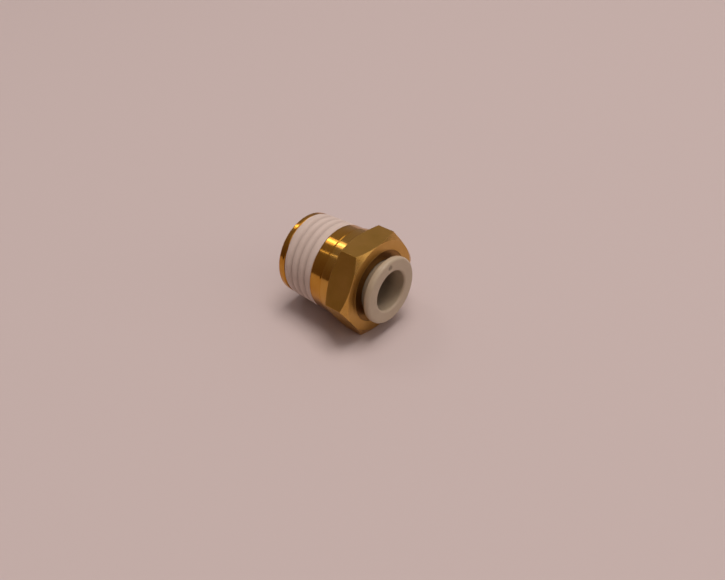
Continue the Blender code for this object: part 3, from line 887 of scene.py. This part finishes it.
def brass(name, tones, line, roughness_span, line_scale, line_depth):
    """Machined brass with tool lines, slight stains, bright edges and painted shade in its inner
    corners.
    """
    material, tree, shader, place = new_material(name, metallic=1.0)
    lines = lines_along(tree, line, line_scale)
    stain = ranged(tree, noise_at(tree, place, **BRASS_STAIN), NOISE_SPAN, WHOLE)
    colour = graded(tree, stain, tones)
    edge = read_attribute(tree, "edge")
    chips = ranged(tree, noise_at(tree, place, **BRASS_CHIPS), CHIP_NOISE_SPAN, CHIP_COVER)
    wear = combined(tree, "MULTIPLY", ranged(tree, edge, TO_WORN, EDGE_WEAR), chips)
    colour = tinted(tree, colour, BRASS_PALE, wear)
    # Painted shade: the brass is darker in its inner corners, such as the bottom of the collar's
    # relief groove
    corner_shade = combined(tree, "MULTIPLY", ranged(tree, edge, TO_DARKENED, CORNER_SHADE), chips)
    colour = tinted(tree, colour, BRASS_CORNER_SHADE, corner_shade)
    mixed = combined(tree, "ADD", lines, noise_at(tree, place, **BRASS_SMEAR))
    roughness = ranged(tree, mixed, TWO_NOISES_SPAN, roughness_span)
    normal = raised(tree, noise_at(tree, place, **BRASS_DENTS), BRASS_DENT_DEPTH)
    normal = raised(tree, lines, line_depth, normal)
    wire(tree, shader, colour, roughness, normal)
    return material


def brass_turned():
    """Satin brass of the chamfers and the bore."""
    return brass(
        "brass_turned",
        tones=(BRASS, BRASS_PALE),
        line="turned_line",
        roughness_span=(0.22, 0.34),
        line_scale=5000.0,
        line_depth=2.0 * MICRON,
    )


def brass_bright():
    """Bright brass of the collar and the threaded end."""
    return brass(
        "brass_bright",
        tones=(BRASS_RICH, BRASS_DEEP),
        line="turned_line",
        roughness_span=(0.09, 0.16),
        line_scale=3000.0,
        line_depth=1.2 * MICRON,
    )


def brass_drawn():
    """Drawn brass of the hexagon's flats."""
    return brass(
        "brass_drawn",
        tones=(BRASS_DULL, BRASS),
        line="drawn_line",
        roughness_span=(0.36, 0.46),
        line_scale=4500.0,
        line_depth=1.6 * MICRON,
    )


def brass_faced():
    """Faced brass of the front."""
    return brass(
        "brass_faced",
        tones=(BRASS, BRASS_PALE),
        line="turned_line",
        roughness_span=(0.32, 0.42),
        line_scale=6000.0,
        line_depth=1.2 * MICRON,
    )


def brass_polished():
    """Bright, paler brass of the shoulder."""
    return brass(
        "brass_polished",
        tones=(BRASS_DEEP, BRASS),
        line="turned_line",
        roughness_span=(0.09, 0.16),
        line_scale=3000.0,
        line_depth=1.2 * MICRON,
    )


def brass_dark_painted_shade():
    """Dull brass of the guide sleeve, darker than the body's so that it paints the shade of the
    recess.
    """
    return brass(
        "brass_dark_painted_shade",
        tones=(BRASS_SHADE, BRASS_DARK),
        line="turned_line",
        roughness_span=(0.3, 0.4),
        line_scale=6000.0,
        line_depth=0.8 * MICRON,
    )


# Other materials


def grained(name, dark, light, roughness_span, grain_scale, grain_depth):
    """Matte surface with soft patches, a fine grain, and darkening where the edge number is below
    0, which is dirt in the gate mark and painted shade in corners, valleys and hollows.
    """
    material, tree, shader, place = new_material(name, metallic=0.0)
    patches = ranged(tree, noise_at(tree, place, **SOFT_PATCHES), NOISE_SPAN, WHOLE)
    colour = graded(tree, patches, (dark, light))
    grain = noise_at(tree, place, grain_scale, GRAIN_DETAIL)
    # Dirt in the gate mark, and painted shade in corners, valleys, under the flange and deep in the
    # bore
    dirt_and_shade = ranged(tree, read_attribute(tree, "edge"), TO_DARKENED, DIRT_AND_SHADE_COVER)
    colour = tinted(tree, colour, [DIRT_AND_SHADE_TONE * part for part in dark], dirt_and_shade)
    roughness = ranged(tree, grain, NOISE_SPAN, roughness_span)
    wire(tree, shader, colour, roughness, raised(tree, grain, grain_depth))
    return material


def sealant():
    """White sealant, matte and slightly grainy."""
    return grained(
        "sealant_white",
        dark=FILM_SHADE,
        light=FILM_WHITE,
        roughness_span=(0.55, 0.75),
        grain_scale=7000.0,
        grain_depth=12.0 * MICRON,
    )


def button_plastic():
    """Moulded light grey plastic with a satin skin."""
    return grained(
        "button_grey",
        dark=BUTTON_SHADE,
        light=BUTTON_GREY,
        roughness_span=(0.12, 0.2),
        grain_scale=9000.0,
        grain_depth=1.0 * MICRON,
    )


def ring_plastic():
    """Moulded plastic of the rings inside."""
    return grained(
        "ring_grey",
        dark=RING_SHADE,
        light=RING_PLASTIC,
        roughness_span=(0.42, 0.55),
        grain_scale=8000.0,
        grain_depth=4.0 * MICRON,
    )


def rubber():
    """Black rubber with a dull skin."""
    return grained(
        "seal_black",
        dark=RUBBER,
        light=RUBBER_SHADE,
        roughness_span=(0.6, 0.78),
        grain_scale=6000.0,
        grain_depth=6.0 * MICRON,
    )


def steel(name):
    """Stamped stainless steel with a fine grain."""
    material, tree, shader, place = new_material(name, metallic=1.0)
    cloud = ranged(tree, noise_at(tree, place, **STEEL_CLOUD), NOISE_SPAN, WHOLE)
    colour = graded(tree, cloud, (STEEL_SHADE, STEEL))
    grain = noise_at(tree, place, **STEEL_GRAIN)
    roughness = ranged(tree, grain, NOISE_SPAN, STEEL_ROUGHNESS)
    wire(tree, shader, colour, roughness, raised(tree, grain, STEEL_GRAIN_DEPTH))
    return material


# Stage, light and camera


def direction(azimuth, elevation):
    """Unit vector towards an azimuth, from -Y round to +X, and an elevation, in degrees."""
    turn = math.radians(azimuth)
    rise = math.radians(elevation)
    level = math.cos(rise)
    return Vector((math.sin(turn) * level, -math.cos(turn) * level, math.sin(rise)))


def add_light(name, azimuth, elevation, size, brightness):
    """Soft lamp that faces the fitting.

    Its size is its width and height as shares of its distance, and its
    brightness is its radiance.
    """
    lamp = bpy.data.lights.new(name, "AREA")
    lamp.shape = "RECTANGLE"
    lamp.size, lamp.size_y = (share * LIGHT_DISTANCE for share in size)
    lamp.energy = brightness * math.pi * lamp.size * lamp.size_y
    lamp.color = LIGHT_COLOUR
    light = bpy.data.objects.new(name, lamp)
    towards = direction(azimuth, elevation)
    light.location = Vector((0.0, 0.0, AXIS_Z)) + towards * LIGHT_DISTANCE
    light.rotation_euler = towards.to_track_quat("Z", "Y").to_euler()
    light.visible_camera = False
    bpy.context.scene.collection.objects.link(light)
    return light


def make_floor():
    """Plain pale floor."""
    half = FLOOR_SIDE / 2.0
    corners = [(-half, -half, 0.0), (half, -half, 0.0), (half, half, 0.0), (-half, half, 0.0)]
    mesh = bpy.data.meshes.new("floor")
    mesh.from_pydata(corners, [], [range(len(corners))])
    material = bpy.data.materials.new("floor_paper")
    material.use_nodes = True
    shader = material.node_tree.nodes["Principled BSDF"]
    shader.inputs["Base Color"].default_value = opaque(FLOOR)
    shader.inputs["Roughness"].default_value = FLOOR_ROUGHNESS
    shader.inputs["Specular IOR Level"].default_value = FLOOR_SPECULAR
    mesh.materials.append(material)
    floor = add_piece("floor", mesh)


def make_room():
    """Dim room, darker in front of the fitting than above and behind it."""
    world = bpy.data.worlds.new("room")
    world.use_nodes = True
    tree = world.node_tree
    slope = tree.nodes.new("ShaderNodeVectorMath")
    slope.operation = "DOT_PRODUCT"
    slope.inputs[1].default_value = ROOM_SLOPE
    tree.links.new(tree.nodes.new("ShaderNodeTexCoord").outputs["Generated"], slope.inputs[0])
    depth = ranged(tree, slope.outputs["Value"], ROOM_SPAN, WHOLE)
    colour = graded(tree, depth, (ROOM_FRONT, ROOM_BACK))
    tree.links.new(colour, tree.nodes["Background"].inputs["Color"])
    bpy.context.scene.world = world


def make_lights():
    """Soft light from above, fills at the tube end, and small lamps for the glints."""
    lamp = add_light("top_light", azimuth=155.0, elevation=81.0, size=(0.5, 0.5), brightness=7.75)
    lamp.visible_glossy = False
    panel = add_light("top_panel", azimuth=154.0, elevation=67.0, size=(0.9, 0.9), brightness=0.8)
    panel.visible_diffuse = False
    add_light("fill_light", azimuth=85.0, elevation=42.0, size=(0.8, 0.8), brightness=0.5)
    add_light("side_light", azimuth=113.0, elevation=15.0, size=(0.4, 0.4), brightness=0.8)
    add_light("key_light", azimuth=-98.0, elevation=50.5, size=(0.08, 0.16), brightness=4.5)
    add_light("halo_light", azimuth=-98.0, elevation=53.7, size=(0.25, 0.25), brightness=1.6)
    add_light("strip_light", azimuth=-57.5, elevation=46.0, size=(0.025, 0.12), brightness=2.0)


def make_camera():
    """Camera at the viewing angle of the photograph."""
    data = bpy.data.cameras.new("camera")
    data.sensor_width = SENSOR_WIDTH
    data.lens = SENSOR_WIDTH * FOCAL_PIXELS / IMAGE_WIDTH
    data.clip_start = CAMERA_NEAR
    data.clip_end = CAMERA_FAR
    camera = bpy.data.objects.new("camera", data)
    back = direction(CAMERA_AZIMUTH, CAMERA_ELEVATION)
    level = direction(CAMERA_AZIMUTH + QUARTER_TURN, 0.0)
    above = back.cross(level)
    roll = math.radians(CAMERA_ROLL)
    right = math.cos(roll) * level + math.sin(roll) * above
    up = math.cos(roll) * above - math.sin(roll) * level
    pose = Matrix((right, up, back)).transposed().to_4x4()
    pose.translation = CAMERA_PLACE
    camera.matrix_world = pose
    bpy.context.scene.collection.objects.link(camera)
    bpy.context.scene.camera = camera


make_camera()
make_floor()
make_room()
make_lights()
make_body()
make_film()
make_seal()
make_backing_ring()
make_chuck_ring()
make_claws()
make_collet()
make_guide_sleeve()
make_button()

bpy.context.scene.view_settings.view_transform = "Standard"
